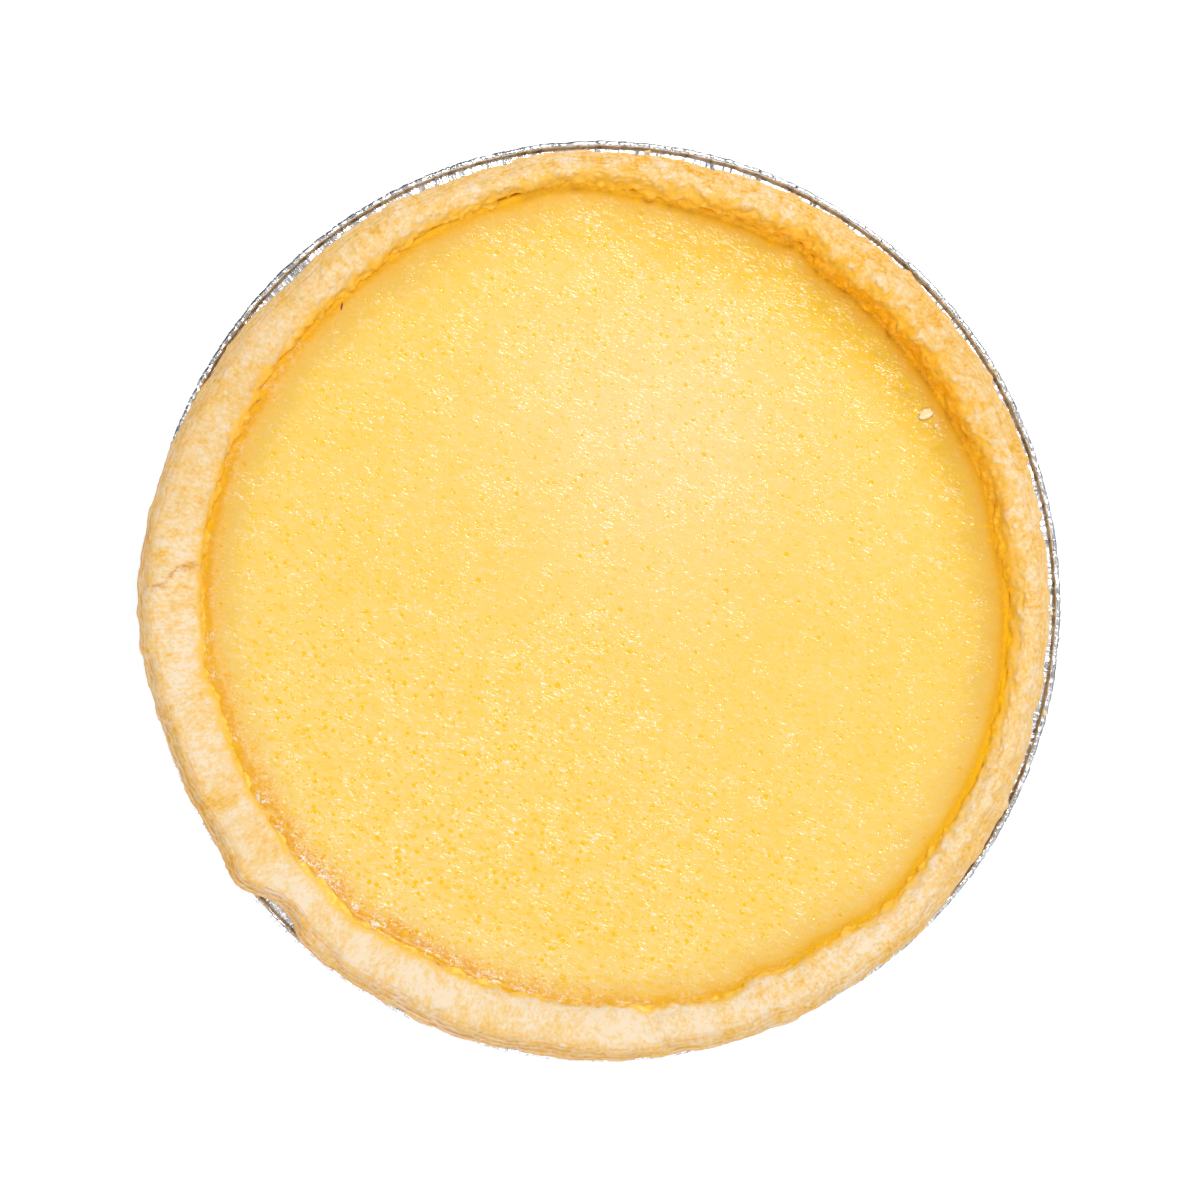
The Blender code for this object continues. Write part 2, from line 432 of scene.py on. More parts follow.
def foil_creases():
    """Angles of the foil's points, with the groove and the facets' offsets at each of them."""
    rng = np.random.default_rng(11)
    at = np.cumsum(rng.uniform(0.5, 1.7, CREASE_DRAWS) * CREASE_GAP)
    at = at[at < LAST_CREASE]
    count = len(at)
    half, depth = rng.uniform(0.05, 0.12, count), 0.05 + 0.35 * rng.random(count) ** 2
    gap = np.roll(at, -1) - at
    gap[-1] += 360
    knots = np.concatenate([at + k * half for k in (-2, -1, 0, 1, 2)])
    sunk = np.concatenate([-share * depth for share in (0, 0.4, 1, 0.4, 0)])
    theta = np.sort(np.concatenate([knots, at + 0.5 * gap]) % 360.0)
    groove = np.interp(theta, knots, sunk, period=360.0)
    ends = np.concatenate([at - 2 * half, at + 2 * half])
    facets = [np.interp(theta, ends, rng.uniform(-0.13, 0.13, 2 * count), period=360.0) for _ in range(2)]
    return theta, groove, facets


def pleats(theta):
    """How far the pleats stand out of the wall at each angle."""
    rng = np.random.default_rng(12)
    fold = 0 * theta
    for k in range(PLEATS):
        middle = k * 360 / PLEATS + rng.uniform(-0.4, 0.4)
        size, half_width = PLEAT_DEPTH * rng.uniform(0.65, 1), rng.uniform(0.55, 1.1)
        fold += size * np.exp(-(np.abs(turn_gap(theta, middle)) / half_width) ** 1.5)
    return fold


def pan_outside(theta, fold, groove):
    """Rows of the base and up the wall's outside."""
    rows = [circle(theta, radius, height) for radius, height in BASE_ROWS]
    for k in range(1, FOOT_ROWS + 1):
        bend = np.radians(FOOT_TURN) * k / FOOT_ROWS
        rows.append(circle(theta, BASE_R + FOOT_R * np.sin(bend), FOOT_R * (1 - np.cos(bend))))
    foot, head = rows[-1][0], np.array([WALL_TOP_R + FOIL, WALL_TOP_Z - 0.4])
    for k in range(1, WALL_ROWS + 1):
        share = k / WALL_ROWS
        radius, height = foot + (head - foot) * share
        rows.append(circle(theta, radius + fold * smooth(0, 0.5, share) + 0.4 * groove * share, height))
    return rows


def pan_rim(theta, fold, groove, facet_out, facet_up):
    """Rows of the flange's underside, round the rolled bead and back over the flange."""
    oval = around(theta, 0, RIM_OVAL, RIM_DENT)
    rows = []
    for share in (0.12, 0.5, 1):
        radius = WALL_TOP_R + 1.2 + (FLANGE_OUT_R - WALL_TOP_R - 1.2) * share
        rows.append(circle(theta, radius + 0.5 * fold * (1 - share) + oval * share,
                           FLANGE_TOP - FOIL - 0.1 + 0.3 * groove - 0.25 * fold * (1 - share)))
    for k in range(BEAD_SIDES):
        angle = np.radians(BEAD_START + BEAD_TURN * k / (BEAD_SIDES - 1))
        size = BEAD_SKIN_R + 0.25 * groove
        out = np.cos(angle)
        out = out if out < BEAD_SQUARE else BEAD_SQUARE + BEAD_FLAT * (out - BEAD_SQUARE)
        rows.append(circle(theta, BEAD_MIDDLE_R + oval + size * out + facet_out + 0.3 * groove,
                           BEAD_Z + size * np.sin(angle) + facet_up + 0.3 * groove))
    for share in (0, 0.1, 0.2, 0.35, 0.65, 1):
        radius = FLANGE_OUT_R - 0.1 + (FLANGE_IN_R - FLANGE_OUT_R) * share
        dip = FLANGE_DIP * np.exp(-share * (FLANGE_OUT_R - FLANGE_IN_R) / 1.3)
        rows.append(circle(theta, radius + oval * (1 - share),
                           FLANGE_TOP - 0.05 - dip + facet_up * (1 - share) + groove - 0.12 * fold))
    return rows


def foil_pan():
    theta, groove, (facet_out, facet_up) = foil_creases()
    fold = pleats(theta)
    rows = pan_outside(theta, fold, groove) + pan_rim(theta, fold, groove, facet_out, facet_up)
    rows += [circle(theta, radius, height) for radius, height in (
        (WALL_TOP_R + 0.7 * fold, WALL_TOP_Z), (CORNER_R, CORNER_Z), (BASE_R, FOIL))]
    points = swept(theta, np.array(rows))
    ripple = grain(points, 7, 5) * 0.10 + grain(points, 2.6, 6) * 0.06
    points += outward(points) * (ripple * smooth(4, 10, points[..., 2]))[..., None]
    wrap = wrapped(theta, RIM_R, np.hypot(points[..., 0], points[..., 1]))
    rim = smooth(WALL_TOP_Z - 0.5, WALL_TOP_Z, points[..., 2])
    pan = turned("foil_skin", points, {"wrap": wrap, "rim": rim}, foil_material())
    pan.data.set_sharp_from_angle(angle=np.radians(SHARP_ANGLE))
    return pan


# ---------------- crust
CRUST_TURNS = 1400  # points round the crust
CRUST_STEPS = [1, 1, 1, 1, 3, 4, 6, 6, 8, 10, 8, 6, 6, 2, 1, 1]  # rows from each knot to the next
WRAP_R = 105.0  # radius of the cylinder on which stretched grain is laid
SHAGGY = dict(mean=0.48, waves=[(1, 0.46, 50)])  # knobbly on the upper right
WALL_LUMPY = dict(mean=1.5,  # how knobbly the side towards the custard is
                  bumps=[(358, 24, -1.25), (125, 25, -0.8), (300, 20, -0.5)])
BAYS = dict(mean=0.9, bumps=[(356, 22, -0.55)])  # raggedness where crust and custard meet
FLAKY = dict(mean=0.47, waves=[(1, 0.38, 225), (2, 0.15, 225)])  # laminated side on the lower left
SHEET_GAP = 1.45  # thickness of the laminated side's sheets
EDGE_FLAKES = [  # angle, half-width and size of what stands out of the crust's edge
    (11, 0.5, 0.6), (18.5, 0.5, 0.6), (30, 0.6, 0.7), (47, 0.5, 0.6), (54, 0.5, 0.7), (101, 0.6, 0.5),
    (121, 0.6, 0.5), (146, 0.5, 0.6), (333, 0.5, 0.5), (350, 0.4, 0.6)]
EDGE_SWELLS = [
    (184, 3, 0.5), (222, 1.6, -0.3), (229, 4, 0.8), (243, 6, 0.6), (292, 16, 0.35), (330, 8, 0.9)]
NICKS = [(233, 1.3, 0.8), (248, 1.2, 0.7), (278, 1.5, 0.9), (293, 1.2, 0.7), (262, 0.9, 0.5)]
SEAM_R = [97.0, 99.4, 102.5, 104.3, 106.0, 108.0]  # edge of the dough's overlap: radius and its angle
SEAM_AT = [174.9, 175.0, 175.5, 176.4, 177.7, 178.2]
PALE = dict(mean=0.652, waves=[(1, 0.18, 255)],  # how pale the crust is, along its ramp of tones
            bumps=[(120, 25, 0.12), (180, 20, 0.05), (345, 20, -0.05)])
# darker on the side at the lower left: baked tan, and painted shade where the side faces away from the key
# light
SIDE_TAN_AND_SHADE = dict(mean=0.08, bumps=[(205, 16, 0.14), (272, 15, 0.18), (305, 20, 0.08)])
TOP_PALE = dict(mean=0.0, bumps=[(75, 28, 0.12)])
PATCHES = [  # angle, radius and size of browner (below 0) and paler spots, and how much
    (207.3, 103.1, 4, -0.30), (174.6, 106.5, 3.6, -0.30), (171.5, 103.8, 2.2, -0.18),
    (193, 101, 3, -0.15), (303, 101.5, 3.5, 0.18), (332, 101.5, 4, 0.12), (224, 101.5, 3.5, 0.15)]
SCORCHED = [(61.2, 99.2, 1.7), (59.8, 101.0, 0.9), (64.5, 98.0, 0.8)]  # brown spots by the notch
CONTRAST = dict(mean=1.45, waves=[(1, 0.08, 75)], bumps=[(90, 20, 0.35), (300, 20, 0.45), (180, 20, 0.25)])
CRUST_TONES = tones(
    (0.00, 243, 178, 40), (0.15, 245, 190, 86), (0.35, 248, 201, 116), (0.50, 249, 207, 136),
    (0.65, 249, 213, 152), (0.82, 249, 219, 170), (1.00, 250, 227, 194))
CRUST_LAYER, CRUST_UNDER = tone(226, 150, 64), tone(250, 196, 130)
# the first tone is a brown crack with a painted shadow beside it, and scorched spots
# the second tone is painted shade, laid where the crust gets less light
CRUST_CRACK_AND_SHADOW, CRUST_PAINTED_SHADE = tone(216, 140, 44), tone(205, 158, 88)
CRUST_SHADE_PART = dict(mean=0.0, bumps=[(150, 22, 0.16), (35, 18, 0.12)])  # where the crust is painted a little darker, as shade
# amber syrup in a lit and a shaded copy; the shaded copy is painted shade
SYRUP_SHADED, SYRUP_LIT = tone(252, 166, 0), tone(265, 214, 70)
# corner tones: a copy with painted shade, a lit copy painted brighter to fill the corner's shade, and a
# painted glow
CORNER_SHADED, CORNER_LIT, CORNER_PAINTED_GLOW = tone(264, 180, 0), tone(284, 236, 118), tone(288, 215, 8)
CONTACT_AMBER_LIT = tone(276, 190, 12)  # amber line where crust and custard meet, painted brighter to fill the shade of the crease
GLOW = dict(mean=0.0,  # where the corner by the custard is painted glowing, as light through the syrup
            bumps=[(348, 26, 0.95), (300, 16, 0.4), (90, 12, 0.6), (122, 12, 0.3)])
# baked stain in a lit and a shaded copy; the shaded copy is painted shade
STAIN_SHADED, STAIN_LIT = tone(250, 184, 34), tone(258, 208, 104)
STAIN_RUN = dict(mean=3.1, waves=[(1, 1.6, 42)],  # how far the baked syrup spreads over the crust
                 bumps=[(40, 30, 0.7), (61, 3, 1.5), (125, 18, -0.7), (190, 2.5, 1), (215, 35, 0.9),
                        (235, 12, 0.9), (268, 14, -1.3), (276.5, 2, 1.2), (322, 30, -1.5)])
RIM_SHADE = dict(mean=0.43, waves=[(1, 0.40, 55)],  # painted shade: how dark the amber tones of crust and custard are painted, darkest on the upper right where the crust shades the custard
                 bumps=[(40, 22, 0.2), (95, 20, -0.25), (165, 30, 0.18), (330, 20, -0.15)])


def crust_grain(g, level, grit, tips, shaggy):
    """How pale the crust is: uneven with flakes and grit, and paler where it stands up, a painted highlight
    on the raised tips and painted shade in the hollows.
    """
    flake = g.noise(3.4, 2, 0.9, stretch=level, distortion=0.25)
    uneven = g.total(g.times(g.noise(11, 1, 0.5), 0.5), flake, g.times(grit, 0.8))
    uneven = g.times(g.math("SUBTRACT", uneven, 1.15), g.number("contrast"))
    # raised tips painted paler and hollows more orange: painted highlight and painted shade
    return g.total(g.number("pale"), uneven, g.times(tips, g.step(shaggy, 0, 0.9, 0.08, 0.30)))


def crust_material():
    g = Graph("crust")
    layer, tips, shaggy, shade = g.number("layer"), g.number("tips"), g.number("shaggy"), g.number("shade")
    outside, wrap = g.number("outside"), g.vector("wrap")
    level = g.scaled(wrap, 1, 1, 0.95)
    grit = g.noise(0.9, 1, 0.9, stretch=level, distortion=0.2)
    crumb = g.noise(1.5, 4, 0.62, distortion=0.4)
    flaky = g.noise(0.9, 3, 0.6, stretch=g.scaled(wrap, 0.16, 0.16, 1))
    amount = crust_grain(g, level, grit, tips, shaggy)
    streaks = g.times(g.number("lined"), g.step(flaky, 0.42, 0.64, -0.12, 0.34))
    spread = g.total(g.number("reach"), g.step(crumb, 0.2, 0.8, 0.30, -0.30), g.times(tips, 0.25))
    wet = g.step(spread, 0.60, 0.20)
    cornered = g.math("MAXIMUM", g.step(spread, 0.34, 0.06), g.step(outside, 0.5, 0))
    corner = g.blend(g.number("glow"), g.blend(shade, CORNER_LIT, CORNER_SHADED), CORNER_PAINTED_GLOW)
    colour = g.layered(
        g.ramp(g.math("SUBTRACT", amount, streaks), CRUST_TONES),
        (g.times(layer, g.step(flaky, 0.40, 0.62, 1, 0.25)), CRUST_LAYER),
        # crack, painted shadow by the overlap, and scorched spots
        (g.times(g.number("crack_and_shadow"), g.step(grit, 0.35, 0.65, 0.9, 0.35)), CRUST_CRACK_AND_SHADOW),
        # painted shade where the crust gets less light
        (g.number("crust_shade"), CRUST_PAINTED_SHADE),
        (g.number("under"), CRUST_UNDER),
        # stain and syrup are mixed towards their shaded copies by the painted shade
        (g.step(spread, 1.25, 0.42), g.blend(shade, STAIN_LIT, STAIN_SHADED)),
        (wet, g.blend(shade, SYRUP_LIT, SYRUP_SHADED)),
        # painted light and shade in the corner by the custard
        (cornered, corner),
        # the amber line at the crease is painted brighter to fill its shade
        (g.step(outside, 0.20, -0.15), CONTACT_AMBER_LIT))
    normal = g.bump(crumb, g.step(shaggy, 0, 0.8, 0.10, 0.22), 0.5)
    normal = g.bump(flaky, g.times(layer, 0.7), 0.35, normal)
    return g.finish(Base_Color=colour, Roughness=g.step(wet, 0, 1, 0.7, 0.3), Normal=normal,
                    Specular_IOR_Level=0.25, Subsurface_Weight=0.2, Subsurface_Radius=(1, 0.5, 0.2),
                    Subsurface_Scale=0.0012)


def crust_knots(theta):
    """Knots of the crust's profile: 6 is its widest edge, 8 the shoulder, 10 the crest, 11 the lip and
    13 the line where it meets the custard. A row's place, below, is its number among the knots."""
    contact, outer = around(theta, **CONTACT), around(theta, **OUTER)
    lip, crest = contact + around(theta, **LIP_RUN), around(theta, **CREST)
    shoulder = outer - SHOULDER_IN
    pairs = [
        (BASE_R - 0.3, FOIL + 0.2), (CORNER_R - 0.3, CORNER_Z + 0.4), (WALL_TOP_R - 0.4, WALL_TOP_Z),
        (FLANGE_IN_R - 0.3, FLANGE_TOP + 0.25), (RIM_UNDER_R, FLANGE_TOP + 0.2),
        (outer - EDGE_ROUND, RIM_UNDER_Z), (outer, EDGE_Z), (outer - EDGE_ROUND, SIDE_Z),
        (shoulder, SHOULDER_Z), (shoulder + 0.30 * (lip - shoulder), crest - 0.3),
        (shoulder + 0.62 * (lip - shoulder), crest), (lip, crest - LIP_DROP),
        (contact + 0.35 * (lip - contact), WALL_MID_Z), (contact, CONTACT_Z),
        (contact - UNDERLIP_IN, UNDERLIP_Z), (WALL_FOOT_R, WALL_FOOT_Z), (FLOOR_R, FLOOR_TOP)]
    return [circle(theta, radius, height) for radius, height in pairs]


def crags(points):
    """Noise that the solid's rim has too."""
    found = [noise.noise(Vector(p) / CRAG_SPACING) for p in points.reshape(-1, 3).tolist()]
    return 2 * CRAG * np.array(found).reshape(points.shape[:-1])


def crust_lumps(points, theta, place, shaggy):
    """Relief of the rim: puffs and knobs where it is shaggy, low swells elsewhere."""
    warped = points + 1.1 * np.stack([grain(points, 4, seed) for seed in (31, 32, 33)], axis=-1)
    fine = 0.36 * puffs(warped, 2.2, 22) + 0.20 * puffs(points, 1.2, 23)
    lumps = 0.50 * puffs(warped, 4.6, 21) + fine * (1 - 0.8 * window(place, 11.6, 12.4, 14, 14.5))
    lumps += 0.35 * (knobs(warped, 3.2, 27) - 0.45)
    plain = 0.16 * puffs(warped, 6, 24) + 0.09 * puffs(warped, 2.4, 25) + 0.05 * puffs(points, 1.3, 26)
    top, wall = window(place, 7.6, 8.6, 10.8, 11.6), window(place, 10.6, 11.4, 13.2, 14.2)
    fullest = np.maximum(top, around(theta, **WALL_LUMPY) * wall)
    return shaggy * (0.45 + 0.55 * fullest) * lumps + (1 - shaggy) * plain


def crust_bays(points, theta, place):
    """Small bays and points of the line where crust and custard meet."""
    bays = 1 * grain(points, 2.6, 37) + 0.45 * grain(points, 1.1, 38)
    return bays * window(place, 11.4, 12.4, 13.4, 14.2) * around(theta, **BAYS)


def crust_sheets(wrap, side, flaky):
    """Relief of the laminated side, and its sheets' edges, which run round the rim and wander."""
    wander = 0.9 * grain(wrap * [1, 1, 0], 14, 26) + 0.35 * grain(wrap * [1, 1, 0.1], 3.5, 27)
    sheet = (wrap[..., 2] / SHEET_GAP + wander) % 1
    relief = side * flaky * 0.55 * (smooth(0, 0.75, sheet) - smooth(0.8, 1, sheet) - 0.4)
    return relief, side * window(sheet, 0.55, 0.78, 0.82, 0.98) * (0.35 + 0.65 * flaky)


def crust_edge(theta, place):
    """Flakes and swells that stand out of the widest part, and nicks in the edge of the top sheet."""
    relief = around(theta, 0, (), EDGE_FLAKES) * window(place, 5.2, 5.9, 6.3, 7)
    relief += around(theta, 0, (), EDGE_SWELLS) * window(place, 5.1, 5.9, 6.8, 8.2)
    for at, half_width, depth in NICKS:
        near = np.clip(1 - np.abs(turn_gap(theta, at)) / half_width, 0, 1)
        relief -= depth * near * window(place, 6.6, 7.6, 8.2, 8.9)
    return relief


def from_spot(theta, radius, at, middle):
    """Distance in mm of each point from the spot at this angle and radius."""
    return np.hypot(np.radians(turn_gap(theta, at)) * middle, radius - middle)


def crust_pale(points, theta, place, radius):
    """How pale the crust is, with its browner and paler spots."""
    # the side at the lower left is painted darker: baked tan and painted shade
    pale = around(theta, **PALE) - around(theta, **SIDE_TAN_AND_SHADE) * window(place, 6, 7, 8, 9)
    pale += around(theta, **TOP_PALE) * window(place, 6.5, 8, 10, 11)
    for at, middle, size, amount in PATCHES:
        away = from_spot(theta, radius, at, middle) + 0.8 * grain(points, 2.5, 35)
        pale += amount * smooth(1.3, 0.3, away / size)
    return pale


def crust_crack_and_shadow(points, theta, place, radius, over):
    """The brown crack along the joined strip's edge with a painted shadow below its step, and the scorched
    spots.
    """
    ragged = over + 0.35 * grain(points, 1.1, 34)
    # the second term is a painted shadow on the lower side of the overlap's step
    crack_and_shadow = np.exp(-(ragged / 0.4) ** 2) + 0.45 * np.exp(-((ragged + 0.8) / 0.8) ** 2)
    crack_and_shadow *= window(place, 7.4, 8.2, 10.9, 11.6)
    for at, middle, size in SCORCHED:
        away = from_spot(theta, radius, at, middle) + 0.5 * grain(points, 1.4, 36)
        crack_and_shadow = np.maximum(crack_and_shadow, 0.9 * smooth(1.4, 0.4, away / size))
    return crack_and_shadow


def crust_reach(theta, wrap, outside):
    """How far out of the stained zone each point is: 0 at the custard, 1 where the stain ends."""
    level = wrap * [1, 1, 0]
    run = around(theta, **STAIN_RUN) + 0.8 * grain(level, 5, 28) + 0.5 * grain(level, 1.9, 29)
    return np.clip(outside / np.clip(run, 0.8, 9), 0, 3)


def crust():
    theta = np.arange(CRUST_TURNS) * 360 / CRUST_TURNS
    profile, place = rounded_rows(crust_knots(theta), CRUST_STEPS)
    points = swept(theta, profile)
    normals, radius = outward(points), np.hypot(points[..., 0], points[..., 1])
    length = np.linalg.norm(np.diff(profile, axis=0), axis=2).mean(1)
    wrap = wrapped(theta, WRAP_R, np.concatenate([[0], np.cumsum(length)])[:, None] + 0 * theta)
    place = place[:, None] + 0 * theta
    rim, side = window(place, 5, 6, 13, 14.2), window(place, 5.2, 6, 7.9, 8.8)
    shaggy, flaky = np.clip(around(theta, **SHAGGY), 0.08, 1), around(theta, **FLAKY)

    rough = rim * crust_lumps(points, theta, place, shaggy)
    bays = crust_bays(points, theta, place)
    sheets, sheet_edge = crust_sheets(wrap, side, flaky)
    over = np.radians(turn_gap(np.interp(radius, SEAM_R, SEAM_AT), theta)) * radius
    seam = 0.55 * smooth(-0.3, 0.2, over) * np.exp(-np.clip(over, 0, None) / 5)
    relief = 0.9 * crags(points) * rim + rough + bays + sheets + crust_edge(theta, place)
    relief += seam * window(place, 7.4, 8.2, 11, 12)
    points += normals * relief[..., None]

    outside = np.hypot(points[..., 0], points[..., 1]) - around(theta, **CONTACT) + 0.8 * bays
    numbers = {
        "wrap": wrap, "outside": outside, "reach": crust_reach(theta, wrap, outside),
        "pale": crust_pale(points, theta, place, radius), "layer": sheet_edge, "lined": side * flaky,
        "crack_and_shadow": crust_crack_and_shadow(points, theta, place, radius, over),
        "tips": rim * np.clip(1.6 * rough / (0.35 + 0.65 * shaggy), -1, 1),
        "under": 0.85 * (1 - smooth(5.3, 6.7, place))}
    by_angle = {"shaggy": shaggy, "contrast": around(theta, **CONTRAST), "glow": around(theta, **GLOW),
                "crust_shade": around(theta, **CRUST_SHADE_PART), "shade": np.clip(around(theta, **RIM_SHADE), 0, 1)}
    numbers.update({label: values + 0 * place for label, values in by_angle.items()})
    return turned("crust_baked", points, numbers, crust_material())


# ---------------- custard
EDGE_TURNS = 720  # points round the custard's edge
GRID = 1.25  # spacing of the plain surface
EDGE_INSETS = (-0.6, -0.1, 0.4, 0.85, 1.4, 2.1)  # rings of points inside the crust's line
PIT_COUNT = 1500
PIT_RINGS = ((0.45, 6), (0.75, 8), (1.05, 10), (1.5, 10))  # share of a pit's radius, and points on the ring
GLINT_SLOPE = 0.36  # slope of the shallow funnels that catch the key light
NAMED_PITS = [  # x, y and radius of the bubbles that stand out
    (-10, -91, 1.1), (20.7, -79, 0.9), (29.6, 2.5, 0.8), (27.2, -0.7, 0.6), (26.7, -2.8, 0.6),
    (25.3, -5.5, 0.7), (23.1, -7.4, 0.6), (29.6, -6.2, 0.55), (32.3, -8.5, 0.6), (22.1, -12.5, 0.6),
    (-5.4, 30.2, 0.7), (-6.9, 29, 0.6), (-29.6, 24.4, 0.6), (-30.3, 4.9, 0.9), (-11.2, -20.5, 0.9),
    (15.6, 20.1, 0.6), (23.3, -32.8, 0.7), (-78.9, -37.8, 0.7), (-71.1, -33, 0.6), (-49.8, -62.2, 0.85)]
FOAM = dict(mean=0.0, bumps=[(230, 44, 1.0), (148, 26, 0.25)])  # baked froth along the edge
DIP = dict(mean=0.30, waves=[(1, 0.15, 40)])  # the set custard sinks a little by the crust
MENISCUS = dict(mean=0.85, waves=[(1, 0.15, 235)], bumps=[(235, 42, 0.3)])  # height of its raised edge
LIVELY = dict(mean=0.98, waves=[(1, 0.18, 230), (2, 0.12, 65)])  # how strongly the skin is spotted
BRIGHT = dict(mean=0.80, waves=[(1, 0.12, 225), (2, 0.13, 70)])  # how much it glints, in the gloss and in the pale flecks painted as glints
SHEEN_AT, SHEEN_R = (14.0, 40.0), 38.0  # middle of the painted sheen, a broad highlight painted paler on the skin, x and y, and its size
STROKE_TURN = 22.0  # the skin's fine strokes run this far below the picture's horizontal
SKIN_DEEP, SKIN_PALE = tone(255, 213, 102), tone(255, 216, 114)
SKIN_RICH, SKIN_LIGHT = tone(255, 211, 90), tone(255, 222, 156)
# the second tone is pale flecks that are partly foam and partly painted glints
SKIN_SPOT, SKIN_GLINT_FLECK = tone(253, 198, 0), tone(255, 240, 222)
SKIN_SHADED = tone(247, 192, 50)
SKIN_SHADE_PART = dict(mean=0.0, bumps=[(72, 32, 0.36)])  # painted shade: where the skin is painted a deeper yellow, inside the crust's shade on the upper right
SKIN_FROTH, SKIN_BROWN = tone(251, 200, 106), tone(243, 166, 28)
# the custard's amber rim and froth in a shaded and a lit copy; the shaded copy is painted shade
SHADED_RIM = tones(
    (0, 266, 180, 0), (0.7, 222, 149, 8), (1.8, 221, 158, 34), (3.1, 221, 166, 50),
    (5.2, 227, 176, 40), (9.5, 246, 196, 60))
LIT_RIM = tones(
    (0, 258, 196, 22), (0.8, 246, 189, 44), (2.2, 248, 201, 92), (4, 249, 208, 114),
    (6, 252, 213, 120), (9.5, 255, 217, 122))


def custard_masks(g):
    """Noises and masks that the custard's colour, relief and gloss share."""
    m = SimpleNamespace(inward=g.number("inward"), pit=g.number("pit"), foam=g.number("foam"),
                        bright=g.number("bright"), cloud=g.noise(5, 4, 0.6), froth=g.cells(0.75))
    slant = g.slanted(STROKE_TURN, 0.45)
    m.mottle = g.noise(1.5, 3, 0.6, stretch=slant)
    m.stroke = g.noise(0.60, 1.5, 0.5, stretch=slant, distortion=0.4)
    m.bubbles = g.noise(1, 2.5, 0.6, distortion=0.8)
    m.clump = g.step(g.noise(5, 2, 0.6), 0.47, 0.58)
    m.lively = g.times(g.step(g.noise(6, 3, 0.6), 0.34, 0.66, 0.45, 1), m.bright)
    wavy = g.times(m.inward, g.step(m.cloud, 0.2, 0.8, 0.75, 1.25))
    ragged = g.step(g.noise(0.9, 2, 0.6), 0.25, 0.75, -0.35, 0.35)
    m.wavy = g.math("MAXIMUM", g.total(wavy, ragged), 0)
    m.baked = g.times(g.step(m.wavy, 6.5, 2.6), g.step(m.wavy, 0.8, 2.2), m.foam)
    m.calm = g.math("MAXIMUM", g.step(m.wavy, 1.5, 9), m.foam)
    m.wet = g.times(g.step(m.wavy, 3.4, 1.2), m.foam, g.step(m.bubbles, 0.52, 0.58), m.clump)
    m.strength = g.times(g.number("lively"), g.number("lively"))
    clear = g.math("MAXIMUM", g.step(m.inward, 3, 9, 0.15, 1), g.times(m.foam, 0.55))
    m.pin_away, pin_there = g.dimples(2.2, 0.50)
    m.dot_away, dot_there = g.dimples(1.3, 0.36)
    m.pin_there, m.dot_there = (g.times(there, m.strength, clear) for there in (pin_there, dot_there))
    return m


def custard_body(g, m):
    """The skin's plain colour: yellow with a paler part near the middle that is a painted sheen, amber and
    baked froth by the crust with painted shade on its shaded side, and painted shade further in on the upper
    right.
    """
    blob = g.noise(1.7, 3, 0.65, distortion=0.6)
    blobs = g.times(g.step(blob, 0.50, 0.60), g.step(m.wavy, 5, 2.5))
    brown = g.math("MAXIMUM", g.step(m.wavy, 2.6, 1.2), blobs)
    # painted shade: the shaded copy is laid where the crust shades the custard
    rim = g.blend(g.number("shade"), g.ramp(m.wavy, LIT_RIM), g.ramp(m.wavy, SHADED_RIM))
    return g.layered(
        SKIN_DEEP,
        (g.step(g.noise(30, 3, 0.5), 0.35, 0.65), SKIN_PALE),
        (g.step(m.cloud, 0.3, 0.7, 0, 0.5), SKIN_RICH),
        # painted sheen: a broad highlight painted paler
        (g.times(g.number("sheen"), 0.7), SKIN_LIGHT),
        (g.step(m.inward, 17, 7), rim),
        # painted shade further in on the upper right
        (g.times(g.step(m.inward, 24, 9), g.step(m.inward, 2.5, 5.5), g.number("skin_shade")), SKIN_SHADED),
        (g.times(m.baked, g.step(m.froth, 0.1, 0.5, 0.35, 0.85)), SKIN_FROTH),
        (g.times(brown, m.foam, g.step(blob, 0.35, 0.60, 0.45, 0.9)), SKIN_BROWN))


def custard_colour(g, m):
    """The plain colour with its mottling, dots, open bubbles and pale strokes, which are partly painted
    glints.
    """
    spot = g.blend(g.step(m.inward, 6, 2.5), SKIN_SPOT, SKIN_BROWN)
    # pale strokes, partly foam flecks and partly painted glints
    fleck = g.times(g.step(m.stroke, 0.60, 0.74), m.lively, m.calm)
    return g.layered(
        custard_body(g, m),
        (g.times(g.step(m.mottle, 0.50, 0.72, 0, 0.55), m.calm, m.bright), SKIN_LIGHT),
        (g.times(g.step(m.mottle, 0.46, 0.28, 0, 0.5), m.strength), SKIN_SPOT),
        (g.times(g.step(m.pin_away, 0.70, 0.38), m.pin_there), spot),
        (g.times(g.step(m.dot_away, 0.44, 0.24), m.dot_there), spot),
        (m.pit, spot),
        # painted glints: pale flecks and wet white specks
        (g.math("MAXIMUM", fleck, m.wet), SKIN_GLINT_FLECK))


def custard_gloss(g, m):
    """Weight of the thin gloss: less by the crust, in the bubbles and at grazing views."""
    gloss = g.math("MAXIMUM", g.step(m.wavy, 1.5, 7, 0.12, 1), g.times(m.foam, m.clump))
    hollow = g.math("MAXIMUM", m.pit, g.times(g.step(m.pin_away, 0.46, 0.26), m.pin_there))
    facing = g.node("LayerWeight", {"Blend": 0.5}).outputs["Facing"]
    return g.times(gloss, g.step(hollow, 0.2, 0.9, 1, 0.1), g.step(facing, 0.55, 0.9, 1, 0.35))


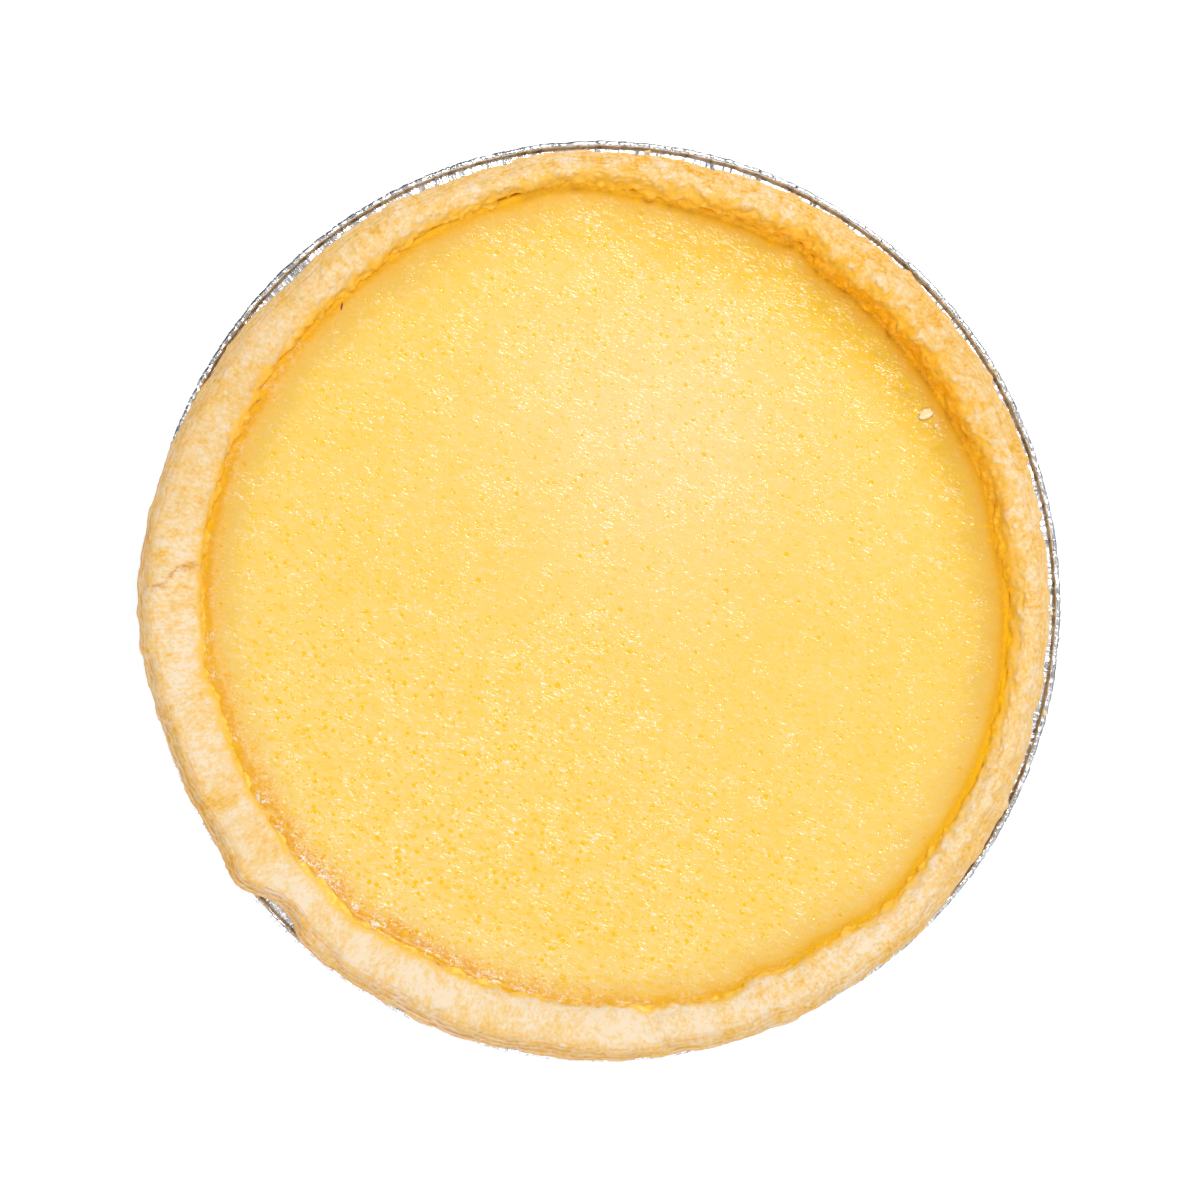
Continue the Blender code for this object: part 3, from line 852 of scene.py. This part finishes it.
def custard_material():
    g = Graph("custard")
    m = custard_masks(g)
    foamy = g.bump(g.times(m.froth, m.baked), 0.6, 0.30, g.bump(m.cloud, 0.30, 0.35))
    funnels = g.total(g.funnel(m.pin_away, m.pin_there, 0.62), g.funnel(m.dot_away, m.dot_there, 0.36))
    glint = g.bump(funnels, 1, GLINT_SLOPE, g.bump(m.stroke, m.lively, 0.30, foamy))
    rough = g.step(g.step(m.wavy, 2.4, 0.6), 0, 1, 0.45, 0.3)
    return g.finish(Base_Color=custard_colour(g, m), Roughness=rough,
                    Normal=g.bump(m.mottle, 0.25, 0.2, foamy), Specular_IOR_Level=0.12,
                    Subsurface_Weight=0.15, Subsurface_Radius=(1, 0.7, 0.08), Subsurface_Scale=0.003,
                    Coat_Weight=custard_gloss(g, m), Coat_Roughness=0.08,
                    Coat_Normal=g.bump(m.bubbles, m.wet, 0.5, glint))


def pits():
    """Middles and radii of the open bubbles: the named ones, then seeded ones, denser lower left."""
    rng = np.random.default_rng(3)
    found = [np.array(spot) for spot in NAMED_PITS]
    contact_limit = around(np.arange(360.0), **CONTACT)
    while len(found) < PIT_COUNT:
        x, y = rng.uniform(-99, 99, 2)
        radius = float(np.clip(0.30 * np.exp(rng.normal(0, 0.42)), 0.17, 0.85))
        chance, away, theta = rng.random(), np.hypot(x, y), angle_at(x, y)
        if away > contact_limit[int(theta)] - 2.5:
            continue  # too near the crust
        share = away / CONTACT["mean"]
        lower_left = np.cos(np.radians(theta - 225)) * share
        if chance > 0.35 + 0.30 * lower_left + 0.2 * share ** 3 + 0.2 * (lower_left > 0.5):
            continue
        spots = np.array(found)
        if (np.hypot(spots[:, 0] - x, spots[:, 1] - y) < 1.55 * (spots[:, 2] + radius)).any():
            continue
        found.append(np.array([x, y, radius]))
    return np.array(found)


def custard_height(x, y, holes):
    """Height of the skin and how far inside a pit each point is."""
    theta = angle_at(x, y)
    inward = around(theta, **CONTACT) - np.hypot(x, y)
    flat = np.column_stack([x, y, 0 * x])
    wet = around(theta, **MENISCUS) + 0.35 * grain(flat, 4, 41)
    height = CUSTARD_TOP - around(theta, **DIP) * np.exp(-np.clip(inward, 0, None) / 4)
    height += 0.14 * grain(flat, 34, 42) + 0.05 * grain(flat, 9, 43) + 0.012 * grain(flat, 2.6, 44)
    height += wet * np.exp(-np.clip(inward + 0.5, 0, None) / 0.8)
    depth = np.zeros(len(x))
    for px, py, radius in holes:
        near = np.where((np.abs(x - px) < 1.6 * radius) & (np.abs(y - py) < 1.6 * radius))[0]
        away = np.hypot(x[near] - px, y[near] - py) / radius
        inside = 1 - smooth(0.4, 1.05, away)
        height[near] += radius * (0.06 * np.exp(-((away - 1.15) / 0.2) ** 2) - 0.32 * inside)
        depth[near] = np.maximum(depth[near], inside)
    return height, inward, depth


def ring(radius, turn):
    """Places in the plane at this radius, one at each angle in radians."""
    return np.column_stack([radius * np.cos(turn), radius * np.sin(turn)])


def plain_grid(rng, holes):
    """Jittered grid of equal triangles, inside the edge's rings and outside the pits' rings."""
    columns, rows = np.arange(-100, 100, GRID), np.arange(-100, 100, GRID * 0.866)
    grid = np.array([(x + GRID * 0.5 * (i % 2), y) for i, y in enumerate(rows) for x in columns])
    grid += rng.uniform(-0.15, 0.15, grid.shape)
    grid = grid[np.hypot(*grid.T) < around(angle_at(*grid.T), **CONTACT) - 2.9]
    free = np.ones(len(grid), bool)
    for px, py, radius in holes:
        free &= np.hypot(grid[:, 0] - px, grid[:, 1] - py) > 1.5 * radius + 0.25
    return grid[free]


def skin_layout(turn, contact, holes):
    """Places of the skin's points: its border, rings inside it, the plain grid and the pits."""
    rng = np.random.default_rng(8)
    sets = [ring(contact + 1.3, turn)]
    sets += [ring(contact - inset, turn)[::1 if inset < 1 else 2] for inset in EDGE_INSETS]
    sets.append(plain_grid(rng, holes))
    for px, py, radius in holes:
        sets.append(np.array([[px, py]]))
        for share, count in PIT_RINGS:
            turns = np.arange(count) * 2 * np.pi / count + rng.uniform(0, 6)
            sets.append([px, py] + ring(share * radius, turns))
    return np.vstack(sets)


def triangulated(flat):
    """Places, triangles and border of the skin, whose border comes first in flat."""
    edges = [(i, (i + 1) % EDGE_TURNS) for i in range(EDGE_TURNS)]
    made, _, faces, origin, _, _ = geometry.delaunay_2d_cdt(
        [Vector(p) for p in flat.tolist()], edges, [], 1, 1e-6)
    place_of = {first: index for index, sources in enumerate(origin) for first in sources}
    border = [place_of[i] for i in range(EDGE_TURNS)]
    return np.array([tuple(v) for v in made]), [list(face) for face in faces], border


def custard():
    theta = np.arange(EDGE_TURNS) * 360 / EDGE_TURNS
    turn, contact, holes = np.radians(theta), around(theta, **CONTACT), pits()
    spots, faces, last = triangulated(skin_layout(turn, contact, holes))
    height, inward, depth = custard_height(spots[:, 0], spots[:, 1], holes)
    parts, start = [np.column_stack([spots, height])], len(spots)
    following = np.roll(np.arange(EDGE_TURNS), -1)
    for radius, level in ((contact - UNDERLIP_IN + 0.1, UNDERLIP_Z), (WALL_FOOT_R - 0.1, WALL_FOOT_Z),
                          (FLOOR_R, FLOOR_TOP + 0.1)):
        parts.append(np.column_stack([ring(radius, turn), level + 0 * turn]))
        lower = list(range(start, start + EDGE_TURNS))
        faces += [(last[k], last[j], lower[j], lower[k]) for j, k in enumerate(following)]
        start, last = start + EDGE_TURNS, lower
    parts.append(np.array([[0, 0, FLOOR_TOP + 0.1]]))
    faces += [(last[k], last[j], start) for j, k in enumerate(following)]

    points = np.vstack(parts)
    angle, away = angle_at(points[:, 0], points[:, 1]), np.hypot(points[:, 0], points[:, 1])
    hidden = np.zeros(len(points) - len(spots))
    numbers = {
        "inward": np.concatenate([inward, hidden]), "pit": np.concatenate([depth, hidden]),
        "shade": np.clip(around(angle, **RIM_SHADE), 0, 1), "foam": np.clip(around(angle, **FOAM), 0, 1),
        "lively": around(angle, **LIVELY) * (0.80 + 0.28 * smooth(25, 85, away)),
        "bright": around(angle, **BRIGHT), "skin_shade": around(angle, **SKIN_SHADE_PART),
        "sheen": np.exp(-((points[:, :2] - SHEEN_AT) ** 2).sum(1) / SHEEN_R ** 2)}
    return body_mesh("custard_skin", points, faces, numbers, custard_material())


# ---------------- crumbs
CRUMB_DARK, CRUMB_PALE, CRUMB_BROWN = tone(254, 212, 134), tone(262, 240, 206), tone(150, 78, 30)
CRUMBS = [  # x, y, height of the middle; half sizes; turn in degrees; 1 for a brown fleck
    (77.9, 44.8, 31.9, 2, 1.25, 0.55, 25, 0), (80.4, 42.2, 31.8, 0.6, 0.4, 0.3, 70, 0),
    (11, 108.6, 28.4, 0.8, 0.55, 0.45, 10, 0), (94, 56.6, 28.5, 0.9, 0.5, 0.45, 130, 0),
    (95.3, 55.2, 28.4, 0.5, 0.45, 0.4, 40, 0), (108.4, -3.1, 28.3, 0.7, 0.5, 0.4, 80, 0),
    (106.9, -27.2, 28.4, 0.75, 0.5, 0.4, 100, 0), (-63.2, 70.9, 31.6, 0.22, 0.85, 0.2, -8, 1)]


def crumb_material():
    g = Graph("crumb")
    grit = g.noise(0.8, 3, 0.6)
    dough = g.blend(g.step(grit, 0.3, 0.7), CRUMB_DARK, CRUMB_PALE)
    colour = g.blend(g.number("brown"), dough, CRUMB_BROWN)
    return g.finish(Base_Color=colour, Roughness=0.75, Normal=g.bump(grit, 0.4, 0.15))


def crumbs():
    """Crust crumbs that lie on the custard and on the foil's bead, and one brown fleck."""
    points, faces, brown = [], [], []
    for number, (x, y, z, long, wide, high, turn, is_brown) in enumerate(CRUMBS):
        ball = bmesh.new()
        bmesh.ops.create_icosphere(ball, subdivisions=3, radius=1)
        unit = np.array([tuple(v.co) for v in ball.verts])
        start = len(points)
        faces += [[start + v.index for v in face.verts] for face in ball.faces]
        ball.free()
        rough = puffs(unit + 7 * number, 0.8, 51) + grain(unit + 5 * number, 1.3, 52)
        along, across, up = (unit * (1 + 0.30 * rough)[:, None] * (long, wide, high)).T
        cos, sin = np.cos(np.radians(turn)), np.sin(np.radians(turn))
        points += np.column_stack([x + along * cos - across * sin, y + along * sin + across * cos,
                                   z + up]).tolist()
        brown += [is_brown] * len(unit)
    return body_mesh("crumbs", np.array(points), faces, {"brown": np.array(brown)}, crumb_material())


# ---------------- stage, light and camera
KEY = dict(azimuth=61, elevation=52, distance=2.0, size=0.83, power=29.2)
STUDIO_TONE = (0.97, 0.985, 1.0, 1)
SKY_LOW, SKY_HIGH = 0.20, 0.90  # brightness at the horizon and above it
SKY_TOP = 0.15  # share of it left straight overhead, where the viewer stands
FILL_FROM, FILL = (235, 28), 0.9  # broad glow on the viewer's side
DIM_FROM, DIM = (125, 14), 0.12  # dark corner of the studio that the foil reflects
GREY_FROM, GREY = (12, 22), 0.70  # grey wall on the right


def stage():
    bpy.ops.mesh.primitive_plane_add(size=6, location=(0, 0, -0.0002))
    floor = bpy.context.object
    floor.name = "floor"
    g = Graph("floor")
    floor.data.materials.append(g.finish(
        Base_Color=(0.93, 0.93, 0.93, 1), Roughness=0.9, Specular_IOR_Level=0.1,
        Emission_Color=(1, 1, 1, 1), Emission_Strength=0.28))


def heading(azimuth, elevation):
    """Unit vector that points this way from the pie."""
    a, e = np.radians(azimuth), np.radians(elevation)
    return Vector((np.cos(a) * np.cos(e), np.sin(a) * np.cos(e), np.sin(e)))


def light(name, azimuth, elevation, distance, size, power):
    """Square soft light that looks at the pie from this azimuth and elevation, in metres and watts."""
    lamp = bpy.data.lights.new(name, "AREA")
    lamp.size, lamp.energy = size, power
    away = heading(azimuth, elevation)
    placed = add_object(name, lamp)
    placed.location = away * distance
    placed.rotation_euler = (-away).to_track_quat("-Z", "Y").to_euler()


def sky():
    """White studio: bright above and behind the viewer's side, dim at the far horizon."""
    g = Graph("studio", bpy.data.worlds, "Background", "Generated")

    def lobe(towards, narrow, wide, low, high):
        """high along the direction towards, low outside the wide cosine."""
        along = g.node("VectorMath", {0: g.place, 1: towards}, operation="DOT_PRODUCT")
        return g.step(along.outputs["Value"], wide, narrow, low, high)

    up = (0, 0, 1)
    glow = g.total(lobe(up, 0.6, 0.2, SKY_LOW, SKY_HIGH), lobe(heading(*FILL_FROM), 0.95, 0.2, 0, FILL))
    glow = g.times(glow, lobe(up, 0.985, 0.86, 1, SKY_TOP), lobe(heading(*DIM_FROM), 0.9, 0.55, 1, DIM),
                   lobe(heading(*GREY_FROM), 0.92, 0.55, 1, GREY))
    bpy.context.scene.world = g.finish(Strength=glow, Color=STUDIO_TONE)


CAMERA_FROM = 215.0  # side towards which the camera leans
CAMERA_LEAN = 3.0  # degrees from straight down
CAMERA_DISTANCE = 2.5  # metres
SENSOR = 36.0
FRAME_MM = 290.0  # width of the picture at the pie's rim
LOOK_AT = (-0.77, 0.18, 28.0)


def camera():
    lens = bpy.data.cameras.new("camera")
    lens.sensor_width = SENSOR
    lens.lens = SENSOR * CAMERA_DISTANCE / (FRAME_MM * MM)
    placed = add_object("camera", lens)
    back = heading(CAMERA_FROM, 90 - CAMERA_LEAN)
    placed.location = Vector(LOOK_AT) * MM + back * CAMERA_DISTANCE
    right = (Vector((1, 0, 0)) - back * back.x).normalized()
    placed.rotation_mode = "QUATERNION"
    placed.rotation_quaternion = Matrix((right, back.cross(right), back)).transposed().to_quaternion()
    bpy.context.scene.camera = placed


for piece, node, slot in ((foil_pan(), "foil_pan", "foil"), (crust(), "crust", "crust"),
                          (custard(), "filling", "custard")):
    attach(piece, "root")
    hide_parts(node)
scattered = crumbs()
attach(scattered, "root")
stage()
light("key", **KEY)
sky()
camera()
bpy.context.scene.view_settings.view_transform = "Standard"
